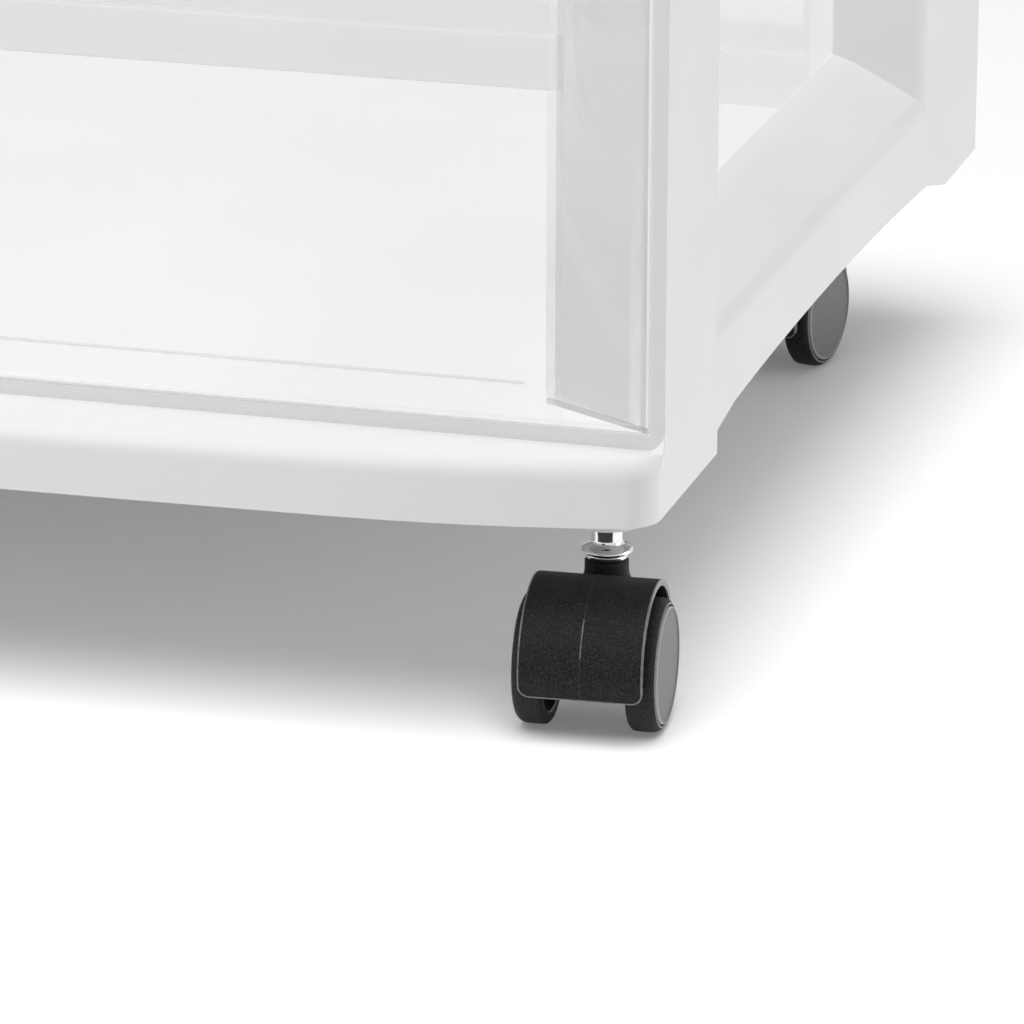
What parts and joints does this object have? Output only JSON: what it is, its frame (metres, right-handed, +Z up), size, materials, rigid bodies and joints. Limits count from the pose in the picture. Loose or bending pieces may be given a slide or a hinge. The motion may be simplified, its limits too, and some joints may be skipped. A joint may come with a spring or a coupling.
{
  "type": "rolling storage cart",
  "caption": "Wide white plastic storage cart with clear pull-out drawers, open side windows and hooded twin-wheel casters.",
  "frame": {"origin": "on the floor, at the middle of the cart's footprint", "axes": "+Z up, -Y towards the drawer fronts, +X to the right as seen from the front"},
  "size_m": [0.5802, 0.4046, 0.6493],
  "materials": {
    "white_plastic": "satin",
    "clear_plastic": "gloss",
    "black_plastic": "fine texture",
    "grey_plastic": "satin",
    "chrome": "polished",
    "steel": "satin"
  },
  "bodies": {
    "frame": {"base_frame": "white_plastic", "side_frame_right": "white_plastic", "side_frame_left": "white_plastic", "shelf_lower": "white_plastic", "shelf_upper": "white_plastic", "top_panel": "white_plastic", "caster_stem_front_right": "chrome", "grip_ring_front_right": "steel", "caster_stem_front_left": "chrome", "grip_ring_front_left": "steel", "caster_stem_back_right": "chrome", "grip_ring_back_right": "steel", "caster_stem_back_left": "chrome", "grip_ring_back_left": "steel"},
    "lower_drawer": {"drawer_lower": "clear_plastic"},
    "middle_drawer": {"drawer_middle": "clear_plastic"},
    "upper_drawer": {"drawer_upper": "clear_plastic"},
    "front_right_swivel": {"caster_hood_front_right": "black_plastic", "caster_axle_front_right": "steel"},
    "front_right_wheel_a": {"caster_wheel_front_right_a": "black_plastic", "wheel_cap_front_right_a": "grey_plastic"},
    "front_right_wheel_b": {"caster_wheel_front_right_b": "black_plastic", "wheel_cap_front_right_b": "grey_plastic"},
    "front_left_swivel": {"caster_hood_front_left": "black_plastic", "caster_axle_front_left": "steel"},
    "front_left_wheel_a": {"caster_wheel_front_left_a": "black_plastic", "wheel_cap_front_left_a": "grey_plastic"},
    "front_left_wheel_b": {"caster_wheel_front_left_b": "black_plastic", "wheel_cap_front_left_b": "grey_plastic"},
    "back_right_swivel": {"caster_hood_back_right": "black_plastic", "caster_axle_back_right": "steel"},
    "back_right_wheel_a": {"caster_wheel_back_right_a": "black_plastic", "wheel_cap_back_right_a": "grey_plastic"},
    "back_right_wheel_b": {"caster_wheel_back_right_b": "black_plastic", "wheel_cap_back_right_b": "grey_plastic"},
    "back_left_swivel": {"caster_hood_back_left": "black_plastic", "caster_axle_back_left": "steel"},
    "back_left_wheel_a": {"caster_wheel_back_left_a": "black_plastic", "wheel_cap_back_left_a": "grey_plastic"},
    "back_left_wheel_b": {"caster_wheel_back_left_b": "black_plastic", "wheel_cap_back_left_b": "grey_plastic"}
  },
  "joints": [
    {"name": "lower_drawer_slide", "type": "slide", "parent": "frame", "child": "lower_drawer", "axis": [0, -1, 0], "range_m": [0, 0.27]},
    {"name": "middle_drawer_slide", "type": "slide", "parent": "frame", "child": "middle_drawer", "axis": [0, -1, 0], "range_m": [0, 0.27]},
    {"name": "upper_drawer_slide", "type": "slide", "parent": "frame", "child": "upper_drawer", "axis": [0, -1, 0], "range_m": [0, 0.27]},
    {"name": "front_right_swivel_turn", "type": "hinge", "parent": "frame", "child": "front_right_swivel", "pos_m": [0.2694, -0.15305, 0.0405], "axis": [0, 0, 1], "continuous": true},
    {"name": "front_right_wheel_a_roll", "type": "hinge", "parent": "front_right_swivel", "child": "front_right_wheel_a", "pos_m": [0.27028, -0.16702, 0.0174], "axis": [0.998, 0.0628, 0], "continuous": true},
    {"name": "front_right_wheel_b_roll", "type": "hinge", "parent": "front_right_swivel", "child": "front_right_wheel_b", "pos_m": [0.27028, -0.16702, 0.0174], "axis": [0.998, 0.0628, 0], "continuous": true},
    {"name": "front_left_swivel_turn", "type": "hinge", "parent": "frame", "child": "front_left_swivel", "pos_m": [-0.2694, -0.15305, 0.0405], "axis": [0, 0, 1], "continuous": true},
    {"name": "front_left_wheel_a_roll", "type": "hinge", "parent": "front_left_swivel", "child": "front_left_wheel_a", "pos_m": [-0.26806, -0.16699, 0.0174], "axis": [0.9954, 0.0958, 0], "continuous": true},
    {"name": "front_left_wheel_b_roll", "type": "hinge", "parent": "front_left_swivel", "child": "front_left_wheel_b", "pos_m": [-0.26806, -0.16699, 0.0174], "axis": [0.9954, 0.0958, 0], "continuous": true},
    {"name": "back_right_swivel_turn", "type": "hinge", "parent": "frame", "child": "back_right_swivel", "pos_m": [0.2382, 0.17785, 0.0405], "axis": [0, 0, 1], "continuous": true},
    {"name": "back_right_wheel_a_roll", "type": "hinge", "parent": "back_right_swivel", "child": "back_right_wheel_a", "pos_m": [0.23594, 0.16403, 0.0174], "axis": [0.9869, -0.1616, 0], "continuous": true},
    {"name": "back_right_wheel_b_roll", "type": "hinge", "parent": "back_right_swivel", "child": "back_right_wheel_b", "pos_m": [0.23594, 0.16403, 0.0174], "axis": [0.9869, -0.1616, 0], "continuous": true},
    {"name": "back_left_swivel_turn", "type": "hinge", "parent": "frame", "child": "back_left_swivel", "pos_m": [-0.2382, 0.17785, 0.0405], "axis": [0, 0, 1], "continuous": true},
    {"name": "back_left_wheel_a_roll", "type": "hinge", "parent": "back_left_swivel", "child": "back_left_wheel_a", "pos_m": [-0.23966, 0.16393, 0.0174], "axis": [0.9945, -0.1045, 0], "continuous": true},
    {"name": "back_left_wheel_b_roll", "type": "hinge", "parent": "back_left_swivel", "child": "back_left_wheel_b", "pos_m": [-0.23966, 0.16393, 0.0174], "axis": [0.9945, -0.1045, 0], "continuous": true}
  ]
}
